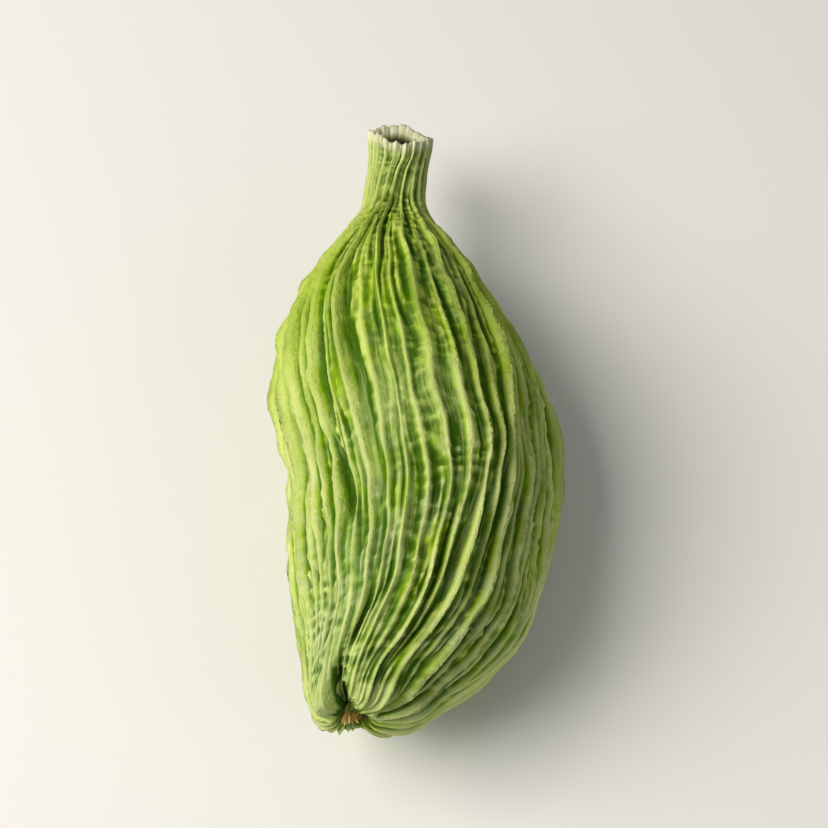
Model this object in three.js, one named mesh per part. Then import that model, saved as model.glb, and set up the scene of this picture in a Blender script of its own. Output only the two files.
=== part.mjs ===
// A dried green cardamom pod, lying on its flattest side.
// The capsule grew as one piece: a three-sided ribbed husk, drawn out into a hollow beak at one end
// and closed by a stalk stub in a dimple at the other. Millimetres, +Z up, the beak points along +Y.
import * as THREE from "three";
import { mergeVertices } from "three/addons/utils/BufferGeometryUtils.js";

// Driving dimensions in millimetres
const POD_LENGTH = 17.2;
const BELLY_RADIUS = 3.4;
const RIB_HEIGHT = 0.25;
const REST_DEPTH = 0.29;

// Half outline of the husk from the stalk stub to the bottom of the beak's pit:
// share of the belly radius, then share of the pod's length
const OUTLINE = [
  [0.0, 0.004],
  [0.047, 0.005],
  [0.063, 0.016],
  [0.084, 0.024],
  [0.115, 0.009],
  [0.17, 0.0],
  [0.38, 0.014],
  [0.575, 0.062],
  [0.795, 0.15],
  [0.92, 0.265],
  [1.0, 0.405],
  [0.995, 0.54],
  [0.825, 0.67],
  [0.51, 0.775],
  [0.275, 0.845],
  [0.232, 0.893],
  [0.228, 0.945],
  [0.25, 1.0],
  [0.2, 0.99],
  [0.165, 0.95],
  [0.115, 0.915],
  [0.0, 0.9],
];
const RINGS_PER_SPAN = 2;

// Sideways path of the husk's middle, at even steps from the stalk to the beak
const SPINE_X = [-1.15, 0.06, 0.66, 0.45, -0.03, -0.13, 0.07];
const SPINE_Z = [0.3, 0.05, 0.0, 0.0, 0.1, 0.35, 0.6];

// The section is a rounded triangle with one corner up and one flat side down
const CORNER_COUNT = 3;
const CORNER_SWELL = 0.07;
const CORNER_UP = Math.PI / 2;

// Near the stalk the husk is fuller on its right, so the scar sits off to the left
const BASE_LEAN = 0.31;
const LEAN_END = 0.3;

// A shallow waist in the left flank
const WAIST_DEPTH = 0.06;
const WAIST_AT = 0.425;
const WAIST_SIZE = 0.1;

// Every second rib is a minor one, which dies out towards both ends
const RIB_COUNT = 42;
const COLUMN_PLACES = [0.2, 0.5, 0.8];
const COLUMNS = RIB_COUNT * COLUMN_PLACES.length;
const CREST_WIDTH = 0.3;
const MINOR_RIB_HEIGHT = 0.66;
const MINOR_RIB_END_WIDTH = 0.2;
const MINOR_RIB_STALK_END = 0.1;
const MINOR_RIB_BEAK_START = 0.62;
const MINOR_RIB_BEAK_END = 0.92;
const RIB_END_HEIGHT = 0.3;
const RIB_PIT_HEIGHT = 0.4;

// No two ribs are alike: each has its own width, height, swellings and sideways wander,
// and all of them lean round a little at the belly
const RIB_WIDTH_SPREAD = 0.28;
const RIB_HEIGHT_SPREAD = 0.35;
const RIB_SWELL = 0.3;
const SWELL_WAVES = 1.6;
const SWELL_WAVES_SPREAD = 0.6;
const RIB_WANDER = 0.26;
const WANDER_WAVES = 1.4;
const WANDER_WAVES_SPREAD = 0.6;
const RIB_TWIST = 0.22;
const RIB_DRIFT = 0.05;
const DRIFT_AROUND = 2;
const DRIFT_ALONG = 5;
const SEED = { width: 1, height: 2, swellWaves: 3, swellPhase: 4, wanderWaves: 5, wanderPhase: 6 };
const HASH = { rib: 12.9898, seed: 78.233, scale: 43758.5453 };

// The mouth of the beak is cut aslant, lowest on its upper side, and torn
const MOUTH_START = 0.89;
const MOUTH_SLANT = 0.85;
const MOUTH_LOW_SIDE = THREE.MathUtils.degToRad(80);
const MOUTH_TEAR = 0.08;
const TEAR_COUNT = 3;

const { smoothstep, lerp, clamp } = THREE.MathUtils;
const TURN = 2 * Math.PI;

// A repeatable draw from -1 to 1 for one rib
function draw(rib, seed) {
  const value = Math.sin(rib * HASH.rib + seed * HASH.seed) * HASH.scale;
  return 2 * (value - Math.floor(value)) - 1;
}

// A smooth line through evenly spaced knots
function lineThrough(knots) {
  const line = new THREE.SplineCurve(knots.map((value, i) => new THREE.Vector2(i, value)));
  return (share) => line.getPoint(clamp(share, 0, 1)).y;
}

const spineX = lineThrough(SPINE_X);
const spineZ = lineThrough(SPINE_Z);

const isMinor = (rib) => rib % 2 === 1;

// How far a minor rib has died out: 0 in the middle of the pod, 1 at the stalk and at the beak
function dyingOut(share) {
  const towardsStalk = 1 - smoothstep(share, 0, MINOR_RIB_STALK_END);
  const towardsBeak = smoothstep(share, MINOR_RIB_BEAK_START, MINOR_RIB_BEAK_END);
  return Math.max(towardsStalk, towardsBeak);
}

// A rib's share of the way round. What a rib gains along the pod, its partner gives up.
function ribWidth(rib, share) {
  const pair = Math.floor(rib / 2);
  const waves = WANDER_WAVES + WANDER_WAVES_SPREAD * draw(pair, SEED.wanderWaves);
  const wander = RIB_WANDER * Math.sin(TURN * (waves * share + draw(pair, SEED.wanderPhase)));
  const own = 1 + RIB_WIDTH_SPREAD * draw(rib, SEED.width);
  return isMinor(rib) ? (own - wander) * lerp(1, MINOR_RIB_END_WIDTH, dyingOut(share)) : own + wander;
}

// The angle around the axis of a place counted in ribs, at one station of the pod
function ribAngle(place, share) {
  let total = 0;
  let before = 0;
  for (let rib = 0; rib < RIB_COUNT; rib++) {
    const width = ribWidth(rib, share);
    before += width * clamp(place - rib, 0, 1);
    total += width;
  }
  const twist = RIB_TWIST * Math.sin(Math.PI * clamp(share, 0, 1)) ** 2;
  const angle = (TURN * before) / total + twist;
  return angle + RIB_DRIFT * Math.sin(DRIFT_AROUND * angle + DRIFT_ALONG * share);
}

// Height of the ribs above the husk, in millimetres
function ribHeight(place, share, roundness) {
  const rib = Math.floor(place);
  const crest = Math.max(1 - Math.abs(place - rib - 0.5) / CREST_WIDTH, 0);
  const own = 1 + RIB_HEIGHT_SPREAD * draw(rib, SEED.height);
  const waves = SWELL_WAVES + SWELL_WAVES_SPREAD * draw(rib, SEED.swellWaves);
  const swell = 1 + RIB_SWELL * Math.sin(TURN * (waves * share + draw(rib, SEED.swellPhase)));
  const rank = isMinor(rib) ? MINOR_RIB_HEIGHT * (1 - dyingOut(share)) : 1;
  return RIB_HEIGHT * own * swell * rank * lerp(RIB_END_HEIGHT, 1, roundness) * crest;
}

// Distance from the axis to the smooth husk: a rounded triangle, fuller on one side near the stalk
// and drawn in at the waist of the other side
function huskReach(radius, angle, share) {
  const roundness = radius / BELLY_RADIUS;
  const corners = CORNER_SWELL * roundness * Math.cos(CORNER_COUNT * (angle - CORNER_UP));
  const lean = BASE_LEAN * (1 - smoothstep(share, 0, LEAN_END)) * Math.cos(angle);
  const drawnIn = WAIST_DEPTH * Math.exp(-(((share - WAIST_AT) / WAIST_SIZE) ** 2));
  const waist = drawnIn * Math.max(-Math.cos(angle), 0) ** 2;
  return radius * (1 + corners + lean - waist);
}

// How far the torn mouth stands beyond a square cut, in millimetres
function mouthStep(angle, share) {
  const slant = -MOUTH_SLANT * Math.cos(angle - MOUTH_LOW_SIDE);
  const tear = MOUTH_TEAR * Math.sin(TEAR_COUNT * angle);
  return (slant + tear) * smoothstep(share, MOUTH_START, 1);
}

// The smooth husk, turned about the pod's axis
function turnedHusk() {
  const line = new THREE.SplineCurve(OUTLINE.map(([radius, height]) => new THREE.Vector2(radius, height)));
  const points = line.getPoints(RINGS_PER_SPAN * (OUTLINE.length - 1));
  points.forEach((point) => point.set(Math.max(point.x, 0) * BELLY_RADIUS, point.y * POD_LENGTH));
  const husk = new THREE.LatheGeometry(points, COLUMNS);
  return { husk, points };
}

// The place in ribs of a column, counted against the lathe's own direction
function columnPlace(column) {
  const turned = (COLUMNS - column) % COLUMNS;
  const rib = Math.floor(turned / COLUMN_PLACES.length);
  return rib + COLUMN_PLACES[turned % COLUMN_PLACES.length];
}

// Ribs, corners, bow and the torn mouth, then the flat spot that the pod rests on
function podGeometry() {
  const { husk, points } = turnedHusk();
  const position = husk.attributes.position;
  const rimRing = points.reduce((best, point, i) => (point.y > points[best].y ? i : best), 0);
  for (let i = 0; i < position.count; i++) {
    const ring = i % points.length;
    const { x: radius, y: height } = points[ring];
    const share = height / POD_LENGTH;
    const onAxis = radius === 0;
    const place = columnPlace(Math.floor(i / points.length));
    const angle = ribAngle(place, share);
    const ribs = ribHeight(place, share, radius / BELLY_RADIUS) * (ring > rimRing ? RIB_PIT_HEIGHT : 1);
    const reach = onAxis ? 0 : huskReach(radius, angle, share) + ribs;
    position.setXYZ(
      i,
      spineX(share) + reach * Math.cos(angle),
      height + (onAxis ? 0 : mouthStep(angle, share)),
      spineZ(share) + reach * Math.sin(angle),
    );
  }
  husk.deleteAttribute("normal");
  husk.deleteAttribute("uv");
  const pod = mergeVertices(husk);
  flattenUnderside(pod);
  return pod;
}

// Presses the lowest ribs flat and sets the origin under the middle of the pod
function flattenUnderside(pod) {
  pod.computeBoundingBox();
  const { min, max } = pod.boundingBox;
  const rest = min.z + REST_DEPTH;
  const middle = min.clone().add(max).multiplyScalar(0.5);
  const position = pod.attributes.position;
  for (let i = 0; i < position.count; i++) {
    const z = Math.max(position.getZ(i) - rest, 0);
    position.setXYZ(i, position.getX(i) - middle.x, position.getY(i) - middle.y, z);
  }
}

const huskMaterial = new THREE.MeshStandardMaterial({ color: 0x86a04a, roughness: 0.7, metalness: 0 });
const pod = new THREE.Mesh(podGeometry(), huskMaterial);
pod.name = "pod";

const cardamomPod = new THREE.Group();
cardamomPod.add(pod);

export default cardamomPod;
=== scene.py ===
# %% [markdown]
# # A dried green cardamom pod
# The capsule of a plant of the ginger family, picked green and dried. It grew as one piece: a thin papery
# husk of bluntly triangular section, drawn together lengthwise into ribs as it dried. One end runs out into
# a short hollow beak, where the flower sat. The other end shows the scar of the stalk.
# The lesson goes from the half outline to the ribs, then to the fine wrinkles, the finish and the light.

# %% Load the frame
import math

import bmesh
import bpy
import numpy as np
from mathutils import Matrix, Vector, noise


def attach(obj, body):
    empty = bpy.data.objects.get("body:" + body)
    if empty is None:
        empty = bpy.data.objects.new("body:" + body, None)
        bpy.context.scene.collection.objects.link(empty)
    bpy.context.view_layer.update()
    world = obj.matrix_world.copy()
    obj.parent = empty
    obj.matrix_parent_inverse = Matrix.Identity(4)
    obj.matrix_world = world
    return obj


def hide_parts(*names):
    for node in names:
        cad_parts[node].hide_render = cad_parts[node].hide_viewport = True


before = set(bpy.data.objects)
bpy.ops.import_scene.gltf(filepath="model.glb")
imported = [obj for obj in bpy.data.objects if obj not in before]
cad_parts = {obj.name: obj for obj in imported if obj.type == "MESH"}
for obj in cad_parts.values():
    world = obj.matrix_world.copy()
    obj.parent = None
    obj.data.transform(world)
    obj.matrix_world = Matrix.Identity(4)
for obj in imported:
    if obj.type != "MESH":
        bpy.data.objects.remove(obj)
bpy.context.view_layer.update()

MM = 0.001
TURN = 2 * math.pi

# %% [markdown]
# ## The half outline
# Seen from the side, the husk is a drop: blunt at the stalk, fullest before the middle, thin at the beak.
# One line holds all of that, from the stalk stub, over the rim of its dimple, along the belly and the neck,
# round the torn lip and down into the beak's pit. It could be drawn by hand as a curve object. Here a few
# knots and a smooth curve through them are enough, and the rings are then set at even steps along it.

# %% Half outline
POD_LENGTH = 17.2 * MM
BELLY_RADIUS = 3.4 * MM

# Share of the belly radius, then share of the pod's length
OUTLINE = [
    (0.0, 0.004), (0.047, 0.005), (0.063, 0.016), (0.084, 0.024), (0.115, 0.009), (0.17, 0.0),
    (0.38, 0.014), (0.575, 0.062), (0.795, 0.15), (0.92, 0.265), (1.0, 0.405), (0.995, 0.54),
    (0.825, 0.67), (0.51, 0.775), (0.275, 0.845), (0.232, 0.893), (0.228, 0.945), (0.25, 1.0),
    (0.212, 0.993), (0.175, 0.95), (0.115, 0.915), (0.0, 0.9),
]


def smooth_line(knots, shares):
    """A smooth curve through the knots, read at shares of the way from 0 to 1."""
    knots = np.asarray(knots, float)
    last = len(knots) - 1
    at = np.clip(np.asarray(shares, float), 0, 1) * last
    first = np.minimum(at.astype(int), last - 1)
    t = (at - first)[:, None] if knots.ndim > 1 else at - first
    before, start = knots[np.maximum(first - 1, 0)], knots[first]
    end, after = knots[first + 1], knots[np.minimum(first + 2, last)]
    leaving, arriving = (end - before) / 2, (after - start) / 2
    cubic = 2 * start - 2 * end + leaving + arriving
    square = 3 * end - 3 * start - 2 * leaving - arriving
    return cubic * t**3 + square * t**2 + leaving * t + start


print("outline:", len(OUTLINE), "knots over", round(POD_LENGTH / MM, 1), "mm")

# %% Rings along the outline
RINGS = 257
MEASURING_STEPS = 40


def even_rings(knots, count):
    """Points of the outline at even steps along its length, in metres."""
    ways = np.linspace(0, 1, MEASURING_STEPS * len(knots))
    line = smooth_line(knots, ways) * (BELLY_RADIUS, POD_LENGTH)
    line[:, 0] = np.maximum(line[:, 0], 0)
    travelled = np.insert(np.cumsum(np.linalg.norm(np.diff(line, axis=0), axis=1)), 0, 0)
    steps = np.linspace(0, travelled[-1], count)
    return np.stack([np.interp(steps, travelled, line[:, axis]) for axis in (0, 1)], axis=1)


rings = even_rings(OUTLINE, RINGS)
radius, height = rings[:, 0], rings[:, 1]
share = height / POD_LENGTH
scar_ring, lip_ring = int(height.argmin()), int(height.argmax())
ring_step = float(np.linalg.norm(rings[1] - rings[0]))
print("rings:", RINGS, "scar rim and lip:", scar_ring, lip_ring, "step, mm:", round(ring_step / MM, 3))

# %% [markdown]
# ## Turning the husk
# A fresh pod is plump and nearly round, so the outline is spun about its long axis, as a lathe turns wood.
# The spin makes every face, and a number kept on each vertex says which ring it came from. The columns are
# counted in ribs, with an odd number to each rib so that one of them runs exactly along its crest.

# %% Spin the outline
RIB_COUNT = 42
COLUMNS_PER_RIB = 9
COLUMNS = RIB_COUNT * COLUMNS_PER_RIB
POLE_GAP = 1e-8


def spun_husk():
    """The smooth husk as a bmesh, with the ring number of each vertex in a layer."""
    bm = bmesh.new()
    ring_layer = bm.verts.layers.int.new("ring")
    chain = [bm.verts.new((r, h, 0)) for r, h in rings]
    for number, vert in enumerate(chain):
        vert[ring_layer] = number
    edges = [bm.edges.new(pair) for pair in zip(chain, chain[1:])]
    bmesh.ops.spin(
        bm, geom=chain + edges, axis=(0, 1, 0), cent=(0, 0, 0), angle=TURN, steps=COLUMNS, use_merge=True
    )
    bmesh.ops.remove_doubles(bm, verts=bm.verts, dist=POLE_GAP)
    bmesh.ops.recalc_face_normals(bm, faces=bm.faces)
    return bm


husk_bm = spun_husk()
husk_mesh = bpy.data.meshes.new("pod_husk")
husk_bm.to_mesh(husk_mesh)
husk_bm.free()
print("husk:", len(husk_mesh.vertices), "vertices,", len(husk_mesh.polygons), "faces")

# %% Ring and column of each vertex
spun = np.zeros(len(husk_mesh.vertices) * 3, np.float32)
husk_mesh.vertices.foreach_get("co", spun)
spun = spun.reshape(-1, 3)
vert_ring = np.zeros(len(spun), np.int32)
husk_mesh.attributes["ring"].data.foreach_get("value", vert_ring)
vert_turn = np.arctan2(spun[:, 2], spun[:, 0]) / TURN
vert_column = np.rint(vert_turn * COLUMNS).astype(int) % COLUMNS
print("grid:", len(np.unique(vert_ring)), "rings by", len(np.unique(vert_column)), "columns")

# %% [markdown]
# ## Where the ribs run
# The ribs are the veins of the husk. They stand up because the softer tissue between them shrinks more.
# They could be painted as bump, but the outline of a real pod is scalloped by them, so they are geometry.
# Each rib has its own width, which swells and shrinks along the pod at the cost of its partner, so the
# lines wander without piling up. Every second rib is a minor one that dies out before both ends. The draws
# come from one repeatable rule, so the pod is the same each time.

# %% Repeatable draws and soft steps
HASH_NUMBER, HASH_SEED, HASH_SCALE = 12.9898, 78.233, 43758.5453
WIDTH_SEED, WANDER_SEED, WANDER_PHASE_SEED = 1, 5, 6


def draw(number, seed):
    """A repeatable draw from -1 to 1."""
    value = np.sin(number * HASH_NUMBER + seed * HASH_SEED) * HASH_SCALE
    return 2 * (value - np.floor(value)) - 1


def ease(value, low, high):
    """0 below low, 1 above high, and a soft step between."""
    t = np.clip((value - low) / (high - low), 0, 1)
    return t * t * (3 - 2 * t)


rib = np.arange(RIB_COUNT)
print("mean draw over the ribs:", round(float(draw(rib, WIDTH_SEED).mean()), 2))

# %% Rib directions
MINOR_RIB_END_WIDTH = 0.2
MINOR_RIB_STALK_END = 0.1
MINOR_RIB_BEAK = (0.62, 0.92)
RIB_WIDTH_SPREAD = 0.28
RIB_WANDER = 0.26
WANDER_WAVES, WANDER_WAVES_SPREAD = 1.4, 0.6
RIB_TWIST = 0.22
RIB_DRIFT, DRIFT_AROUND, DRIFT_ALONG = 0.05, 2, 5

minor = rib % 2 == 1
along = share[:, None]
dying = np.maximum(1 - ease(along, 0, MINOR_RIB_STALK_END), ease(along, *MINOR_RIB_BEAK))
waves = WANDER_WAVES + WANDER_WAVES_SPREAD * draw(rib // 2, WANDER_SEED)
wander = RIB_WANDER * np.sin(TURN * (waves * along + draw(rib // 2, WANDER_PHASE_SEED)))
own_width = 1 + RIB_WIDTH_SPREAD * draw(rib, WIDTH_SEED)
minor_width = (own_width - wander) * (1 + (MINOR_RIB_END_WIDTH - 1) * dying)
rib_width = np.where(minor, minor_width, own_width + wander)

column_rib = np.arange(COLUMNS) // COLUMNS_PER_RIB
column_part = (np.arange(COLUMNS) % COLUMNS_PER_RIB + 0.5) / COLUMNS_PER_RIB
ribs_before = np.cumsum(rib_width, axis=1) - rib_width
passed = ribs_before[:, column_rib] + rib_width[:, column_rib] * column_part
angle = TURN * passed / rib_width.sum(axis=1)[:, None]
angle = angle + RIB_TWIST * np.sin(np.pi * np.clip(along, 0, 1)) ** 2
angle = angle + RIB_DRIFT * np.sin(DRIFT_AROUND * angle + DRIFT_ALONG * along)
print("rib spacing at the belly, mm:", round(TURN * BELLY_RADIUS / RIB_COUNT / MM, 2))

# %% [markdown]
# ## How high the ribs stand
# A crest is a narrow fold of the skin, sharp like folded paper, and the valley beside it is broad, so a tent
# over each rib is raised to a power, which differs from rib to rib. Each rib swells and sinks along its
# length. The husk was pressed while it dried, hard on the lower left and lightly at two places of its upper
# side, and there the ribs are smoothed away.

# %% Rib heights
RIB_HEIGHT = 0.25 * MM
MINOR_RIB_HEIGHT = 0.66
RIB_HEIGHT_SPREAD = 0.35
RIB_SWELL = 0.3
SWELL_WAVES, SWELL_WAVES_SPREAD = 1.6, 0.6
RIB_END_HEIGHT = 0.3
RIB_PIT_HEIGHT = 0.4
CREST_POWER, CREST_POWER_SPREAD = 2.8, 0.4
HEIGHT_SEED, SWELL_SEED, SWELL_PHASE_SEED, CREST_SEED = 2, 3, 4, 7

ring_number = np.arange(RINGS)[:, None]
inside_pit = ring_number > lip_ring
roundness = (radius / BELLY_RADIUS)[:, None]
tent = 1 - np.abs(2 * column_part - 1)
crest = tent ** (CREST_POWER * (1 + CREST_POWER_SPREAD * draw(column_rib, CREST_SEED)))
own_height = 1 + RIB_HEIGHT_SPREAD * draw(rib, HEIGHT_SEED)
swell_waves = SWELL_WAVES + SWELL_WAVES_SPREAD * draw(rib, SWELL_SEED)
swell = 1 + RIB_SWELL * np.sin(TURN * (swell_waves * along + draw(rib, SWELL_PHASE_SEED)))
rank = np.where(minor, MINOR_RIB_HEIGHT * (1 - dying), 1)
rib_size = own_height * swell * rank * (RIB_END_HEIGHT + (1 - RIB_END_HEIGHT) * roundness)
print("rib sizes at the belly:", np.percentile(rib_size[radius.argmax()], [0, 50, 100]).round(2))

# %% Pressed patches
# Degrees round the pod and share of its length, the size in both, and how much of the ribs is lost
PRESSED = (
    ((134, 0.09), (36, 0.13), 0.92),
    ((92, 0.42), (22, 0.09), 0.55),
    ((62, 0.66), (16, 0.07), 0.5),
)

pressed = np.zeros(angle.shape)
for (degrees, at), (degrees_size, at_size), loss in PRESSED:
    aside = (np.degrees(angle) - degrees) / degrees_size
    pressed = np.maximum(pressed, loss * np.exp(-(aside**2) - ((along - at) / at_size) ** 2))
rib_rise = rib_size[:, column_rib] * crest * (1 - pressed)
rib_rise = rib_rise * np.where(inside_pit, RIB_PIT_HEIGHT, 1)
print("highest rib, mm:", round(RIB_HEIGHT * rib_rise.max() / MM, 2))

# %% [markdown]
# ## Fine wrinkles
# Between the ribs the dry skin is crinkled like crepe paper: finer veins run along the pod, short folds
# cross from rib to rib, and the crests are pinched and broken. Noise gives such marks if it is read in the
# right space. For veins the pod is thought of as straight and even, so that a long mark follows its rib. For
# folds and dents the place on the smooth husk is used, so that they keep their size at the thin ends.
# A line is where a noise field passes through nought, which gives creases and not lumps.

# %% Two spaces for the marks
around = TURN * (column_rib + column_part) / RIB_COUNT


def places(reach, turn, lengthwise):
    """A place in metres for every ring and column."""
    return np.stack(np.broadcast_arrays(reach * np.cos(turn), lengthwise, reach * np.sin(turn)), axis=-1)


straight = places(BELLY_RADIUS, around[None, :], ring_step * ring_number)
smooth = places(radius[:, None], angle, height[:, None])
print("straightened pod, mm:", [round(v / MM, 1) for v in np.ptp(straight.reshape(-1, 3), axis=0)])

# %% Noise and creases
FIELD_STEP = 17.3


def marks(space, across, lengthwise, seed):
    """Soft noise from about -1 to 1, its lumps of the two given sizes in mm."""
    scaled = space / MM / (across, lengthwise, across) + FIELD_STEP * seed
    flat = [noise.noise(point) for point in scaled.reshape(-1, 3).tolist()]
    return np.array(flat).reshape(scaled.shape[:2])


def creases(field, sharpness):
    """Thin lines where a noise field passes through nought, as much raised as the rest is sunk."""
    lines = 1 - np.minimum(np.abs(field) * sharpness, 1)
    return lines - lines.mean()


# Size across the pod and along it in mm, and the seed that sets a field apart
VEIN, THIN_VEIN = (0.36, 4.0, 1), (0.2, 2.2, 2)
FOLD, THIN_FOLD = (0.6, 0.38, 3), (0.34, 0.24, 7)
SLANT = (0.9, 0.9, 12)
VEIN_SHARPNESS, FOLD_SHARPNESS = 3.0, 2.5
THIN_VEIN_SHARE, THIN_FOLD_SHARE = 0.7, 0.6
SLANT_STEP = 0.5 * MM

slanted = smooth + SLANT_STEP * marks(smooth, *SLANT)[..., None] * (0, 1, 0)
veins = creases(marks(straight, *VEIN), VEIN_SHARPNESS)
veins += THIN_VEIN_SHARE * creases(marks(straight, *THIN_VEIN), VEIN_SHARPNESS)
cross_folds = creases(marks(slanted, *FOLD), FOLD_SHARPNESS)
cross_folds += THIN_FOLD_SHARE * creases(marks(slanted, *THIN_FOLD), FOLD_SHARPNESS)
print("veins:", round(float(np.ptp(veins)), 2), "cross folds:", round(float(np.ptp(cross_folds)), 2))

# %% Wrinkles
CRINKLED, PINCH = (1.6, 2.4, 10), (0.5, 0.9, 8)
DENT, GRAIN = (2.4, 3.6, 4), (0.16, 0.2, 5)
VEIN_HEIGHT, FOLD_HEIGHT, DENT_HEIGHT, GRAIN_HEIGHT = 0.11 * MM, 0.07 * MM, 0.08 * MM, 0.02 * MM
RIB_PINCH = 0.5
CRINKLED_EDGE = (-0.35, 0.35)
BODY = (0.1, 0.4)
CREST_IS_SMOOTH = 0.8
PRESSED_IS_SMOOTH = 0.8
LEAST_FOLDS = 0.3

on_body = ease(roundness, *BODY) * ~inside_pit
crinkled = np.maximum(ease(marks(smooth, *CRINKLED), *CRINKLED_EDGE), pressed)
valley = 1 - CREST_IS_SMOOTH * crest
rib_rise = rib_rise * (1 + RIB_PINCH * marks(smooth, *PINCH) * on_body)
wrinkles = on_body * (
    VEIN_HEIGHT * veins * valley * (1 - PRESSED_IS_SMOOTH * pressed)
    + FOLD_HEIGHT * cross_folds * valley * (LEAST_FOLDS + (1 - LEAST_FOLDS) * crinkled)
    + DENT_HEIGHT * marks(smooth, *DENT)
    + GRAIN_HEIGHT * marks(smooth, *GRAIN)
)
print("wrinkles, mm:", round(wrinkles.min() / MM, 3), "to", round(wrinkles.max() / MM, 3))

# %% [markdown]
# ## Folds and the knobs of the scar
# As the pod shrank, its skin gave way along two slanting folds on the lower left: one runs up from the
# scar, the other comes down from the left flank. Round the scar the skin is puckered into a few knobs, with
# a notch between two of them and short grooves between the others. They could be sculpted by hand. Here each
# fold is a groove along a line on the husk and each knob a low bump, so that they are easy to move.

# %% Places on the husk
def on_husk(degrees, at):
    """The place on the smooth husk at degrees round it and a share of its length."""
    outer = slice(scar_ring, lip_ring + 1)
    reach = np.interp(at, share[outer], radius[outer])
    turn = np.radians(degrees)
    return np.stack([reach * np.cos(turn), POD_LENGTH * np.asarray(at), reach * np.sin(turn)], axis=-1)


def near(spots, size, strengths=(1.0,)):
    """The strength of the nearest of some places on the husk, falling off softly over a size."""
    falls = [
        strength * np.exp(-((np.linalg.norm(smooth - spot, axis=-1) / size) ** 2))
        for spot, strength in zip(spots, strengths)
    ]
    return np.max(falls, axis=0)


BELLY_TOP = (90, 0.4)
print("top of the belly, mm:", (on_husk(*BELLY_TOP) / MM).round(1))

# %% Folds
FOLD_STEPS = 48
FOLD_FADES = (0.55, 1.05)

# Bends of each fold in degrees round the pod and share of its length, then its width and its depth
FOLDS = (
    (((98, 0.0), (108, 0.02), (106, 0.06), (88, 0.19)), 0.2 * MM, 0.32 * MM),
    (((100, 0.0), (106, 0.02), (104, 0.05)), 0.3 * MM, 0.4 * MM),
    (((136, 0.39), (128, 0.33), (108, 0.19)), 0.24 * MM, 0.3 * MM),
    (((40, 0.002), (34, 0.02)), 0.14 * MM, 0.18 * MM),
    (((168, 0.002), (160, 0.02)), 0.16 * MM, 0.16 * MM),
    (((285, 0.0), (280, 0.03)), 0.18 * MM, 0.18 * MM),
)


def groove(bends, breadth):
    """A line through bends of degrees round the pod and share of its length, fading at its far end."""
    ways = np.linspace(0, 1, FOLD_STEPS)
    knots = np.linspace(0, 1, len(bends))
    degrees, at = (np.interp(ways, knots, part) for part in zip(*bends))
    return near(on_husk(degrees, at), breadth, 1 - ease(ways, *FOLD_FADES))


relief = RIB_HEIGHT * rib_rise
for bends, breadth, depth in FOLDS:
    relief -= depth * groove(bends, breadth) * ~inside_pit
print("deepest fold, mm:", round(relief.min() / MM, 2))

# %% Knobs
# Degrees round the pod and share of its length, then the size and the height of each knob
KNOBS = (
    ((66, 0.014), 0.42 * MM, 0.3 * MM),
    ((132, 0.014), 0.5 * MM, 0.26 * MM),
    ((12, 0.01), 0.4 * MM, 0.12 * MM),
    ((215, 0.008), 0.4 * MM, 0.12 * MM),
    ((320, 0.008), 0.4 * MM, 0.1 * MM),
)

knobs = np.zeros(angle.shape)
for spot, size, knob_height in KNOBS:
    knob = near([on_husk(*spot)], size) * (ring_number >= scar_ring)
    relief += knob_height * knob
    knobs = np.maximum(knobs, knob)
print("relief, mm:", round(relief.min() / MM, 2), "to", round(relief.max() / MM, 2))

# %% [markdown]
# ## Bending it into the pod
# The section is a rounded triangle, fuller on its right near the stalk and drawn in at a waist on its left,
# and its middle line bows sideways and rises towards both ends. On the belly the relief stands straight out
# from the axis, but on the blunt stalk end out means backwards, so there it follows the outline's slope.
# The lip is cut aslant and torn. Last, whatever would stand below the surface that the pod lies on is
# pressed flat, as far as the solid model is.

# %% Which way the skin rises
BLUNT_END = (0.08, 0.3)
RIM_BLEND = 0.46 * MM

run = np.gradient(rings, axis=0)
run = run / np.linalg.norm(run, axis=1)[:, None]
past_rim = ring_step * (ring_number - scar_ring)
blunt = (1 - ease(along, *BLUNT_END)) * ease(past_rim, -RIM_BLEND, RIM_BLEND)
outwards = 1 + (run[:, 1:] - 1) * blunt
backwards = run[:, :1] * blunt
lengths = np.hypot(outwards, backwards)
outwards, backwards = outwards / lengths, backwards / lengths
print("steepest at the stalk end:", round(float(backwards.max()), 2))

# %% Section, lean and waist
CORNER_COUNT, CORNER_SWELL, CORNER_UP = 3, 0.07, TURN / 4
BASE_LEAN, LEAN_END = 0.31, 0.3
WAIST_DEPTH, WAIST_AT, WAIST_SIZE = 0.06, 0.425, 0.1

corners = CORNER_SWELL * roundness * np.cos(CORNER_COUNT * (angle - CORNER_UP))
lean = BASE_LEAN * (1 - ease(along, 0, LEAN_END)) * np.cos(angle)
drawn_in = WAIST_DEPTH * np.exp(-(((along - WAIST_AT) / WAIST_SIZE) ** 2))
waist = drawn_in * np.maximum(-np.cos(angle), 0) ** 2
section = 1 + corners + lean - waist
print("section, share of the radius:", round(section.min(), 2), "to", round(section.max(), 2))

# %% Torn mouth
MOUTH_START, MOUTH_SLANT, MOUTH_LOW_SIDE = 0.89, 0.85 * MM, math.radians(80)
MOUTH_TEAR, TEAR_COUNT = 0.08 * MM, 3
FRAY, FRAY_HEIGHT, FRAY_START = (1.1, 40.0, 6), 0.1 * MM, 0.97

tear = MOUTH_TEAR * np.sin(TEAR_COUNT * angle) - MOUTH_SLANT * np.cos(angle - MOUTH_LOW_SIDE)
fray = FRAY_HEIGHT * marks(straight, *FRAY) * ease(along, FRAY_START, 1)
mouth = tear * ease(along, MOUTH_START, 1) + fray
print("mouth, mm:", round(mouth.min() / MM, 2), "to", round(mouth.max() / MM, 2))

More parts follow.
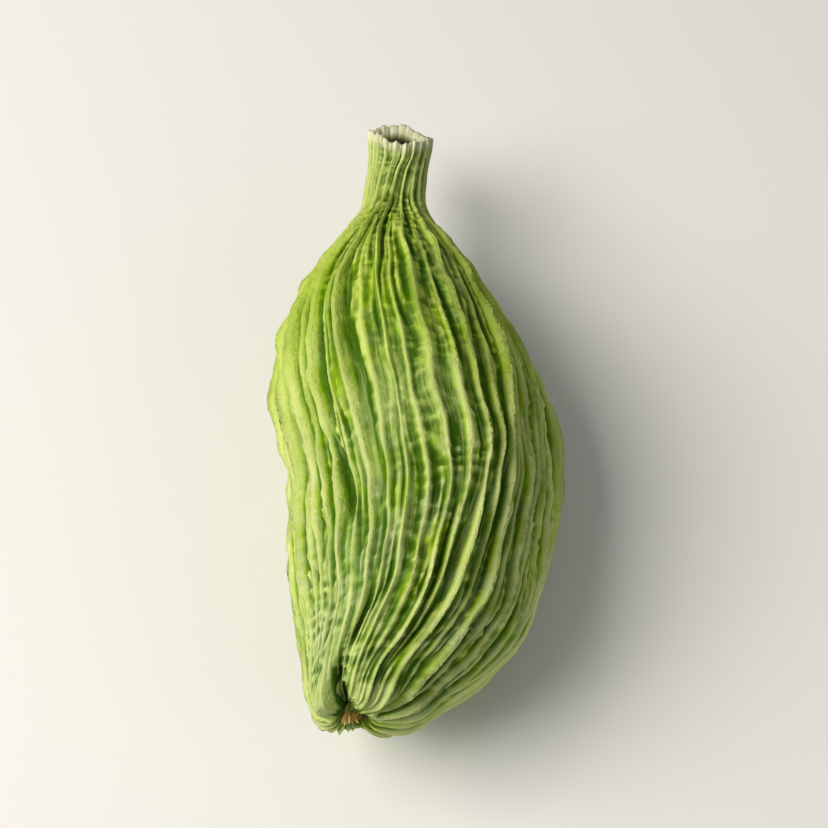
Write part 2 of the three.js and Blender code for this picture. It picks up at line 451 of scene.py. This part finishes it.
# %% Shape the husk
SPINE_X = np.array([-1.15, 0.06, 0.66, 0.45, -0.03, -0.13, 0.07]) * MM
SPINE_Z = np.array([0.3, 0.05, 0.0, 0.0, 0.1, 0.35, 0.6]) * MM
WOBBLE, WOBBLE_STEP = (1.0, 1.3, 9), 0.11 * MM
REST_DEPTH = 0.29 * MM

off_axis = (radius > 0)[:, None]
rise = relief + wrinkles
reach = off_axis * (radius[:, None] * section + outwards * rise)
lengthwise = off_axis * (mouth - backwards * rise)
turned = angle + WOBBLE_STEP / BELLY_RADIUS * marks(smooth, *WOBBLE) * on_body
pod = np.stack(
    [
        smooth_line(SPINE_X, share)[:, None] + reach * np.cos(turned),
        height[:, None] + lengthwise,
        smooth_line(SPINE_Z, share)[:, None] + reach * np.sin(turned),
    ],
    axis=-1,
)
pod_low, pod_high = pod.min(axis=(0, 1)), pod.max(axis=(0, 1))
middle = (pod_low + pod_high) / 2
pod = pod - (middle[0], middle[1], pod_low[2] + REST_DEPTH)
pod[..., 2] = np.maximum(pod[..., 2], 0)
print("husk, mm:", [round(v / MM, 2) for v in np.ptp(pod.reshape(-1, 3), axis=0)])

# %% [markdown]
# ## Marks that the finish follows
# The finish has to know where it is: on a crest or in a valley, near the stalk or the beak, in the pit or
# out. Those facts are known here and nowhere else, so they are kept on the vertices as attributes, with the
# straightened place that the streaks of the skin follow.

# %% Write the mesh
husk_mesh.vertices.foreach_set("co", pod[vert_ring, vert_column].astype(np.float32).ravel())
husk_mesh.update()
husk_mesh.shade_smooth()
print("lowest and highest, mm:", [round(float(v) / MM, 2) for v in (pod[..., 2].min(), pod[..., 2].max())])

# %% Crests and valleys
FINE_RISE, FINE_BLUR = 0.05 * MM, (3, 2)
WIDE_RISE, WIDE_BLUR = 0.12 * MM, (10, 6)
THIN_END_RELIEF = 0.35


def keep_mark(name, values):
    """A number for each vertex, read by the finish."""
    kept = husk_mesh.attributes.new(name, "FLOAT", "POINT")
    of_vertices = np.broadcast_to(values, angle.shape)[vert_ring, vert_column]
    kept.data.foreach_set("value", of_vertices.astype(np.float32))


def blurred(field, columns, ring_steps):
    """The mean of a field over its neighbours, round the pod and along it."""
    shifts = range(-columns, columns + 1)
    total = sum(np.roll(field, shift, axis=1) for shift in shifts) / len(shifts)
    padded = np.pad(total, ((ring_steps, ring_steps), (0, 0)), mode="edge")
    starts = range(2 * ring_steps + 1)
    return sum(padded[start : start + RINGS] for start in starts) / len(starts)


surface = rise / (THIN_END_RELIEF + (1 - THIN_END_RELIEF) * roundness)
scales = {"fine_rise": (FINE_RISE, FINE_BLUR), "wide_rise": (WIDE_RISE, WIDE_BLUR)}
for name, (full_rise, blur) in scales.items():
    values = (surface - blurred(surface, *blur)) / full_rise
    keep_mark(name, np.clip(values, -1, 1))
    print(name, "quarters:", np.percentile(values, [25, 50, 75]).round(2))

# %% Ends and grain
LIP_EDGE, PIT_EDGE, SCAR_EDGE = (-0.58 * MM, -0.12 * MM), (0.29 * MM, 0.58 * MM), (-0.58 * MM, 0)

past_lip = ring_step * (ring_number - lip_ring)
pit = ease(past_lip, *PIT_EDGE)
keep_mark("along", along)
keep_mark("lip", ease(past_lip, *LIP_EDGE) * (1 - pit))
keep_mark("pit", pit)
keep_mark("scar", 1 - ease(past_rim, *SCAR_EDGE))
# Paler with dust where pressed; on the knobs round the scar the paleness is a painted highlight.
keep_mark("pale", np.maximum(pressed, knobs))
flow = husk_mesh.attributes.new("flow", "FLOAT_VECTOR", "POINT")
flow.data.foreach_set("vector", straight[vert_ring, vert_column].astype(np.float32).ravel())
husk_mesh.attributes.remove(husk_mesh.attributes["ring"])
print("marks:", [a.name for a in husk_mesh.attributes if a.domain == "POINT"])

# %% Hand over the husk
pod_husk = bpy.data.objects.new("pod_husk", husk_mesh)
bpy.context.scene.collection.objects.link(pod_husk)
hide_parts("pod")
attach(pod_husk, "root")
print("piece:", pod_husk.name)

# %% [markdown]
# ## Helpers for the finish
# A finish is a small graph of nodes. It could be wired by hand in the shader editor, but a few helpers keep
# it readable as text. The first ones are here: one adds a node with its settings, values and links, and one
# turns a colour as it is printed on a paint card into the linear numbers that a shader wants.

# %% Paint, nodes and links
SRGB_STRAIGHT_END, SRGB_STRAIGHT_SLOPE = 0.04045, 12.92
SRGB_SHIFT, SRGB_POWER = 0.055, 2.4
WHITE = 255


def linear(part):
    """One part of a screen colour, from 0 to 1, in linear light."""
    if part <= SRGB_STRAIGHT_END:
        return part / SRGB_STRAIGHT_SLOPE
    return ((part + SRGB_SHIFT) / (1 + SRGB_SHIFT)) ** SRGB_POWER


def paint(card):
    """A colour given as six hex digits, in linear light and opaque."""
    return (*[linear(part / WHITE) for part in bytes.fromhex(card)], 1.0)


def join(tree, value, socket):
    """Links a socket, or sets a plain value."""
    if isinstance(value, bpy.types.NodeSocket):
        tree.links.new(value, socket)
    else:
        socket.default_value = value


def add(tree, kind, inputs=None, **settings):
    """One node with its settings and its input values or links."""
    made = tree.nodes.new(kind)
    for name, value in settings.items():
        setattr(made, name, value)
    for name, value in (inputs or {}).items():
        join(tree, value, made.inputs[name])
    return made


print("half grey in linear light:", [round(part, 3) for part in paint("808080")])

# %% [markdown]
# ## The skin's fibre, as a shared group
# Husk and stalk are both dried plant fibre: fine streaks along the grain, and a crinkle where the shrinking
# skin folded over them. That pattern is built once as a node group and placed in each finish with its own
# fineness. The streaks are read along the grain of the piece and the crinkle at its plain place.

# %% Ranges and speckles
RANGE_INPUTS = ("Value", "From Min", "From Max", "To Min", "To Max")


def sums(tree, operation, first, second=0.0):
    """One step of arithmetic."""
    return add(tree, "ShaderNodeMath", {0: first, 1: second}, operation=operation).outputs[0]


def spread(tree, value, low, high, to_low=0.0, to_high=1.0):
    """Stretches a range of values to another, clamped at both ends."""
    inputs = dict(zip(RANGE_INPUTS, (value, low, high, to_low, to_high)))
    return add(tree, "ShaderNodeMapRange", inputs).outputs[0]


def speckle(tree, place, size, stretch, detail, rough):
    """Noise from 0 to 1 whose lumps are about size across, in metres."""
    mapped = add(tree, "ShaderNodeMapping", {"Vector": place, "Scale": [s / size for s in stretch]})
    inputs = {"Vector": mapped.outputs[0], "Scale": 1.0, "Detail": detail, "Roughness": rough}
    return add(tree, "ShaderNodeTexNoise", inputs).outputs[0]


# Size of the lumps, stretch along the three axes, detail and roughness of each speckle
EVEN = (1, 1, 1)
STREAKS = (0.14 * MM, (1, 0.05, 1), 3.0, 0.6)
CRINKLE = (0.24 * MM, EVEN, 2.0, 0.5)
print("streaks and crinkle, mm:", round(STREAKS[0] / MM, 2), round(CRINKLE[0] / MM, 2))

# %% Fibre group
GROUP_SOCKETS = (
    ("Grain", "INPUT", "NodeSocketVector"),
    ("Place", "INPUT", "NodeSocketVector"),
    ("Fineness", "INPUT", "NodeSocketFloat"),
    ("Streaks", "OUTPUT", "NodeSocketFloat"),
    ("Crinkle", "OUTPUT", "NodeSocketFloat"),
)
NOISE_MIDDLE = 0.5

# A range is two values, then the strengths that they get, or 0 and 1 where none are given
STREAK_RANGE = (0.34, 0.66)
CRINKLE_RANGE = (0.14, 0.0)


def finer(tree, place, fineness):
    """A place scaled up, so that a pattern read there turns out finer."""
    return add(tree, "ShaderNodeVectorMath", {0: place, "Scale": fineness}, operation="SCALE").outputs[0]


def fibre_group():
    """Streaks along the grain and a fine crinkle, as two values from 0 to 1."""
    tree = bpy.data.node_groups.new("dried_fibre", "ShaderNodeTree")
    for name, way, kind in GROUP_SOCKETS:
        tree.interface.new_socket(name, in_out=way, socket_type=kind)
    start, end = add(tree, "NodeGroupInput"), add(tree, "NodeGroupOutput")
    grain = finer(tree, start.outputs["Grain"], start.outputs["Fineness"])
    place = finer(tree, start.outputs["Place"], start.outputs["Fineness"])
    streaks = speckle(tree, grain, *STREAKS)
    away = sums(tree, "ABSOLUTE", sums(tree, "SUBTRACT", speckle(tree, place, *CRINKLE), NOISE_MIDDLE))
    join(tree, spread(tree, streaks, *STREAK_RANGE), end.inputs["Streaks"])
    join(tree, spread(tree, away, *CRINKLE_RANGE), end.inputs["Crinkle"])
    return tree


dried_fibre = fibre_group()
print("group sockets:", [item.name for item in dried_fibre.interface.items_tree])

# %% [markdown]
# ## The husk's finish
# Dried green skin: sap green in the valleys, laid on darker there as painted shade, rubbed to a pale straw
# green on the crests, yellower towards the beak and lighter there as painted light, and paler where it was
# pressed. The knobs round the scar are paler as a painted highlight. The lip is cream and papery, and the
# pit is brown, painted near black as the shade in its hollow. A photograph could be wrapped round the pod,
# but it would hold one light and one side only, so the colours are built from the marks and from noise.

# %% Paints and how they mix
# VALLEY is the darker green of the valleys, and also stands for painted shade in them.
VALLEY, SKIN, LIT_SKIN, CREST = paint("386000"), paint("7CA206"), paint("ACCB1A"), paint("D7E190")
LIT_CREST, NECK, LIP, PIT_SHADE = paint("C8DC5E"), paint("C2D27A"), paint("F0EECC"), paint("1D1906")
DUST, TAN, STUB = paint("BCC898"), paint("AC8C3C"), paint("8A8440")

# A mix node has sockets for every kind of value, and these are its factor and its colours
MIX_FACTOR, MIX_UNDER, MIX_OVER, MIX_RESULT = 0, 6, 7, 2


def mix(tree, factor, under, over):
    """One colour laid over another."""
    inputs = {MIX_FACTOR: factor, MIX_UNDER: under, MIX_OVER: over}
    return add(tree, "ShaderNodeMix", inputs, data_type="RGBA").outputs[MIX_RESULT]


def mark(tree, name, output="Fac"):
    """A vertex mark of the piece."""
    return add(tree, "ShaderNodeAttribute", attribute_name=name).outputs[output]


def placed_fibre(tree, grain, place, fineness):
    """The fibre group in a finish: its streaks and its crinkle."""
    fibre = add(tree, "ShaderNodeGroup", node_tree=dried_fibre)
    for name, value in (("Grain", grain), ("Place", place), ("Fineness", fineness)):
        join(tree, value, fibre.inputs[name])
    return fibre.outputs["Streaks"], fibre.outputs["Crinkle"]


print("skin paint:", [round(part, 3) for part in SKIN])

# %% Green skin
# A range that ends in ALONG is in shares of the pod's length, from the stalk to the beak
PATCHES, PATCH_RANGE = (2.2 * MM, EVEN, 3.0, 0.5), (0.35, 0.65, 0.0, 0.7)
# LIT_ALONG lays the lighter paint on towards the beak: its yellow is the skin's own, its lightness is
# painted light.
LIT_ALONG, NECK_ALONG = (0.3, 0.75, 0.0, 0.3), (0.8, 0.94, 0.0, 0.8)
BLOOM, BLOOM_RANGE = (0.45 * MM, (1, 0.6, 1), 4.0, 0.6), (0.45, 0.7)
BLOOM_ALONG = (0.7, 0.1, 0.2, 0.85)
PALE_STRENGTH = 0.55


def green_skin(tree, here, flow_place, end):
    """Sap green in patches, yellower and, as painted light, lighter towards the beak, with a pale bloom
    towards the stalk.
    """
    patches = spread(tree, speckle(tree, here, *PATCHES), *PATCH_RANGE)
    # Random patches of the lighter tone, plus painted light that grows towards the beak.
    tone_and_painted_light = sums(tree, "ADD", patches, spread(tree, end, *LIT_ALONG))
    skin = mix(tree, tone_and_painted_light, SKIN, LIT_SKIN)
    skin = mix(tree, spread(tree, end, *NECK_ALONG), skin, NECK)
    bloom = spread(tree, speckle(tree, flow_place, *BLOOM), *BLOOM_RANGE)
    bloom = sums(tree, "MULTIPLY", bloom, spread(tree, end, *BLOOM_ALONG))
    skin = mix(tree, bloom, skin, DUST)
    # Paler with dust where pressed; on the knobs round the scar this is a painted highlight.
    return mix(tree, sums(tree, "MULTIPLY", mark(tree, "pale"), PALE_STRENGTH), skin, DUST)


print("patches and bloom, mm:", round(PATCHES[0] / MM, 2), round(BLOOM[0] / MM, 2))

# %% Dark valleys and rubbed crests
WIDE_VALLEY_GREEN_AND_SHADE, FINE_VALLEY_GREEN_AND_SHADE = (0.15, -0.7, 0.0, 0.9), (0.0, -0.9, 0.0, 0.6)
WIDE_CREST, FINE_CREST = (0.2, 0.9, 0.0, 0.6), (0.1, 0.9)
WORN, WORN_RANGE = (0.9 * MM, (1, 0.3, 1), 3.0, 0.5), (0.38, 0.62, 0.5, 1.0)
YELLOW_ALONG, BEFORE_NECK_ALONG = (0.35, 0.6, 0.0, 0.75), (0.88, 0.76)
DARK_STREAK, PALE_STREAK = (0.0, 0.45, 0.35, 0.0), (0.6, 1.0, 0.0, 0.3)


def ribbed_skin(tree, skin, flow_place, end, streaks):
    """The skin darkened in its valleys, partly its own darker green and partly painted shade, and rubbed
    pale on its crests, with dark and pale streaks.
    """
    fine_rise, wide_rise = mark(tree, "fine_rise"), mark(tree, "wide_rise")
    # Darker green in the valleys, laid on deeper than the skin's own as painted shade in them.
    skin = mix(tree, spread(tree, wide_rise, *WIDE_VALLEY_GREEN_AND_SHADE), skin, VALLEY)
    skin = mix(tree, spread(tree, fine_rise, *FINE_VALLEY_GREEN_AND_SHADE), skin, VALLEY)
    worn = spread(tree, speckle(tree, flow_place, *WORN), *WORN_RANGE)
    broad, narrow = spread(tree, wide_rise, *WIDE_CREST), spread(tree, fine_rise, *FINE_CREST)
    rubbed = sums(tree, "MULTIPLY", worn, sums(tree, "MAXIMUM", broad, narrow))
    before_neck = spread(tree, end, *BEFORE_NECK_ALONG)
    yellowed = sums(tree, "MULTIPLY", spread(tree, end, *YELLOW_ALONG), before_neck)
    crest_colour = mix(tree, yellowed, CREST, LIT_CREST)
    skin = mix(tree, rubbed, skin, crest_colour)
    skin = mix(tree, spread(tree, streaks, *DARK_STREAK), skin, VALLEY)
    return mix(tree, spread(tree, streaks, *PALE_STREAK), skin, crest_colour)


print("worn places, mm:", round(WORN[0] / MM, 2))

# %% Husk finish
FLECKS, FLECK_RANGE = (0.42 * MM, EVEN, 3.0, 0.5), (0.7, 0.76, 0.0, 0.5)
TORN, TORN_RANGE = (0.2 * MM, EVEN, 3.0, 0.5), (0.45, 0.6)
LIP_STRENGTH = 0.8
HUSK_FINENESS = 1.0
HUSK_ROUGHNESS = (0.0, 1.0, 0.75, 0.5)
HUSK_BUMP = {"Strength": 0.35, "Distance": 0.04 * MM}
HUSK_SHINE = 0.08


def husk_finish():
    """Green papery skin with pale ribs, a cream lip, a brown pit painted near black as its shade, and a tan
    scar.
    """
    material = bpy.data.materials.new("dried_green_husk")
    material.use_nodes = True
    tree = material.node_tree
    shader = tree.nodes["Principled BSDF"]
    flow_place, end = mark(tree, "flow", "Vector"), mark(tree, "along")
    here = add(tree, "ShaderNodeTexCoord").outputs["Object"]
    streaks, crinkle = placed_fibre(tree, flow_place, here, HUSK_FINENESS)

    skin = green_skin(tree, here, flow_place, end)
    skin = ribbed_skin(tree, skin, flow_place, end, streaks)
    skin = mix(tree, spread(tree, speckle(tree, here, *FLECKS), *FLECK_RANGE), skin, TAN)
    skin = mix(tree, sums(tree, "MULTIPLY", mark(tree, "lip"), LIP_STRENGTH), skin, LIP)
    torn = mix(tree, spread(tree, speckle(tree, here, *TORN), *TORN_RANGE), STUB, TAN)
    skin = mix(tree, mark(tree, "scar"), skin, torn)
    # The pit is painted near black: painted shade in the hollow of the beak.
    skin = mix(tree, mark(tree, "pit"), skin, PIT_SHADE)
    join(tree, skin, shader.inputs["Base Color"])

    join(tree, spread(tree, streaks, *HUSK_ROUGHNESS), shader.inputs["Roughness"])
    creased = add(tree, "ShaderNodeBump", {**HUSK_BUMP, "Height": crinkle})
    fibrous = add(tree, "ShaderNodeBump", {**HUSK_BUMP, "Height": streaks, "Normal": creased.outputs[0]})
    join(tree, fibrous.outputs[0], shader.inputs["Normal"])
    shader.inputs["Specular IOR Level"].default_value = HUSK_SHINE
    return material


husk_mesh.materials.append(husk_finish())
print("finish:", husk_mesh.materials[0].name, len(husk_mesh.materials[0].node_tree.nodes), "nodes")

# %% [markdown]
# ## Torn fibres of the stalk
# Where the pod was pulled from its stalk, a tuft of short fibres still stands in the scar. Each one is a
# small ring that is extruded step by step, bent a little further and drawn thinner each time, and closed to
# a point. A curve with a taper would do as well, but these few rings need no second object.

# %% Fibre shapes
FIBRES = 9
FIBRE_SIDES, FIBRE_STEPS = 6, 5
FIBRE_LENGTH, FIBRE_LENGTH_SPREAD = 0.2 * MM, 0.5
FIBRE_THICKNESS = 0.11 * MM
FIBRE_ROOT = 0.1 * MM
FIBRE_SUNK = 0.14 * MM
FIBRE_SPLAY = 1.1
FIBRE_TAPER = 0.86
SPLAY_SEED, LENGTH_SEED, BEND_SEED = 11, 12, 13

STALK_WAY = Vector((0, -1, 0))
scar_place = Vector(pod[0].mean(axis=0))


def torn_fibre(bm, number):
    """One bent strand that starts inside the stub and ends in a point."""
    turn = TURN * number / FIBRES
    sideways = Vector((math.cos(turn), 0, math.sin(turn)))
    splay = FIBRE_SPLAY * (1 + draw(number, SPLAY_SEED)) / 2
    length = FIBRE_LENGTH * (1 + FIBRE_LENGTH_SPREAD * draw(number, LENGTH_SEED))
    centre = scar_place + sideways * FIBRE_ROOT - STALK_WAY * FIBRE_SUNK
    facing = STALK_WAY.to_track_quat("Z", "Y").to_matrix().to_4x4()
    made = bmesh.ops.create_circle(
        bm,
        cap_ends=True,
        segments=FIBRE_SIDES,
        radius=FIBRE_THICKNESS / 2,
        matrix=Matrix.Translation(centre) @ facing,
    )
    ring = made["verts"]
    edges = list(ring[0].link_faces[0].edges)
    thinner = Vector((FIBRE_TAPER, FIBRE_TAPER, FIBRE_TAPER))
    for step in range(1, FIBRE_STEPS + 1):
        grown = bmesh.ops.extrude_edge_only(bm, edges=edges)["geom"]
        ring = [part for part in grown if isinstance(part, bmesh.types.BMVert)]
        edges = [part for part in grown if isinstance(part, bmesh.types.BMEdge)]
        bend = splay * step / FIBRE_STEPS * (1 + draw(number + step, BEND_SEED))
        move = (STALK_WAY + sideways * bend).normalized() * (length + FIBRE_SUNK) / FIBRE_STEPS
        centre = centre + move
        bmesh.ops.translate(bm, verts=ring, vec=move)
        bmesh.ops.scale(bm, verts=ring, vec=thinner, space=Matrix.Translation(-centre))
    bmesh.ops.pointmerge(bm, verts=ring, merge_co=centre)


fibre_bm = bmesh.new()
for number in range(FIBRES):
    torn_fibre(fibre_bm, number)
bmesh.ops.recalc_face_normals(fibre_bm, faces=fibre_bm.faces)
fibre_mesh = bpy.data.meshes.new("stalk_fibres")
fibre_bm.to_mesh(fibre_mesh)
fibre_bm.free()
fibre_mesh.shade_smooth()
print("fibres:", FIBRES, "with", len(fibre_mesh.polygons), "faces")

# %% Hand over the fibres
stalk_fibres = bpy.data.objects.new("stalk_fibres", fibre_mesh)
bpy.context.scene.collection.objects.link(stalk_fibres)
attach(stalk_fibres, "root")
print("piece:", stalk_fibres.name)

# %% [markdown]
# ## The fibres' finish
# The torn fibres are the same stuff as the husk without its green skin: straw, stained to a rust brown. The
# shared group gives them their streaks, set finer, because a fibre is so much thinner than the pod.

# %% Fibre finish
STRAW, RUST = paint("E0CC7C"), paint("B08434")
STAINS, STAIN_RANGE = (0.2 * MM, EVEN, 2.0, 0.5), (0.4, 0.6)
CRINKLE_STAIN = (0.3, 1.0, 0.0, 0.4)
FIBRE_FINENESS = 2.0
FIBRE_BUMP = {"Strength": 0.5, "Distance": 0.02 * MM}
FIBRE_ROUGHNESS = 0.75


def fibre_finish():
    """Torn stalk fibre: straw and rust brown, streaked like the husk."""
    material = bpy.data.materials.new("torn_stalk_fibre")
    material.use_nodes = True
    tree = material.node_tree
    shader = tree.nodes["Principled BSDF"]
    here = add(tree, "ShaderNodeTexCoord").outputs["Object"]
    streaks, crinkle = placed_fibre(tree, here, here, FIBRE_FINENESS)
    colour = mix(tree, spread(tree, speckle(tree, here, *STAINS), *STAIN_RANGE), STRAW, RUST)
    colour = mix(tree, spread(tree, crinkle, *CRINKLE_STAIN), colour, RUST)
    join(tree, colour, shader.inputs["Base Color"])
    fibrous = add(tree, "ShaderNodeBump", {**FIBRE_BUMP, "Height": streaks})
    join(tree, fibrous.outputs[0], shader.inputs["Normal"])
    shader.inputs["Roughness"].default_value = FIBRE_ROUGHNESS
    return material


fibre_mesh.materials.append(fibre_finish())
print("finish:", fibre_mesh.materials[0].name)

# %% [markdown]
# ## Floor, light and camera
# A plain pale floor, one broad soft key light from the upper left and a weak fill from the right, so the
# left flank is bright and the right one falls into shade. The camera looks down on the lying pod from the
# stalk end, with the beak away from it.

# %% Floor
FLOOR_HALF = 0.6
FLOOR_PAINT, FLOOR_ROUGHNESS = paint("F4F3EF"), 0.9

floor_bm = bmesh.new()
bmesh.ops.create_grid(floor_bm, x_segments=1, y_segments=1, size=FLOOR_HALF)
floor_mesh = bpy.data.meshes.new("floor")
floor_bm.to_mesh(floor_mesh)
floor_bm.free()
floor = bpy.data.objects.new("floor", floor_mesh)
bpy.context.scene.collection.objects.link(floor)
floor_paper = bpy.data.materials.new("floor_paper")
floor_paper.use_nodes = True
floor_shader = floor_paper.node_tree.nodes["Principled BSDF"]
floor_shader.inputs["Base Color"].default_value = FLOOR_PAINT
floor_shader.inputs["Roughness"].default_value = FLOOR_ROUGHNESS
floor_mesh.materials.append(floor_paper)
print("floor, m:", [round(v, 1) for v in floor.dimensions])

# %% Light
LIT_PLACE = Vector((0, 0, 3.2 * MM))
KEY_PLACE, KEY_SIZE, KEY_POWER, KEY_TINT = (-0.074, -0.012, 0.088), 0.08, 0.14, "FFFAF2"
FILL_PLACE, FILL_SIZE, FILL_POWER, FILL_TINT = (0.09, -0.06, 0.07), 0.08, 0.014, "F2F6FF"
SKY_PAINT, SKY_STRENGTH = paint("F4F5F6"), 0.22


def soft_light(name, place, size, power, tint):
    """A square studio light that faces the pod."""
    lamp = bpy.data.lights.new(name, "AREA")
    lamp.size = size
    lamp.energy = power
    lamp.color = paint(tint)[:3]
    made = bpy.data.objects.new(name, lamp)
    made.location = place
    made.rotation_euler = (LIT_PLACE - Vector(place)).to_track_quat("-Z", "Y").to_euler()
    bpy.context.scene.collection.objects.link(made)


soft_light("key", KEY_PLACE, KEY_SIZE, KEY_POWER, KEY_TINT)
soft_light("fill", FILL_PLACE, FILL_SIZE, FILL_POWER, FILL_TINT)
world = bpy.data.worlds.new("studio")
world.use_nodes = True
sky = world.node_tree.nodes["Background"]
sky.inputs["Color"].default_value = SKY_PAINT
sky.inputs["Strength"].default_value = SKY_STRENGTH
bpy.context.scene.world = world
bpy.context.scene.view_settings.view_transform = "Standard"

# %% Camera
VIEW_TILT = math.radians(62)
LENS, SENSOR = 90.0, 36.0
FRAME_HEIGHT = 22.0 * MM
CLIP_START = 1 * MM
AIM = Vector((0, -0.3 * MM, 3.0 * MM))

camera = bpy.data.objects.new("camera", bpy.data.cameras.new("camera"))
camera.data.lens = LENS
camera.data.sensor_width = SENSOR
camera.data.clip_start = CLIP_START
distance = FRAME_HEIGHT * LENS / SENSOR
back = Vector((0, -math.cos(VIEW_TILT), math.sin(VIEW_TILT)))
camera.location = AIM + distance * back
camera.rotation_euler = (-back).to_track_quat("-Z", "Y").to_euler()
bpy.context.scene.collection.objects.link(camera)
bpy.context.scene.camera = camera
print("camera distance, mm:", round(distance / MM, 1))
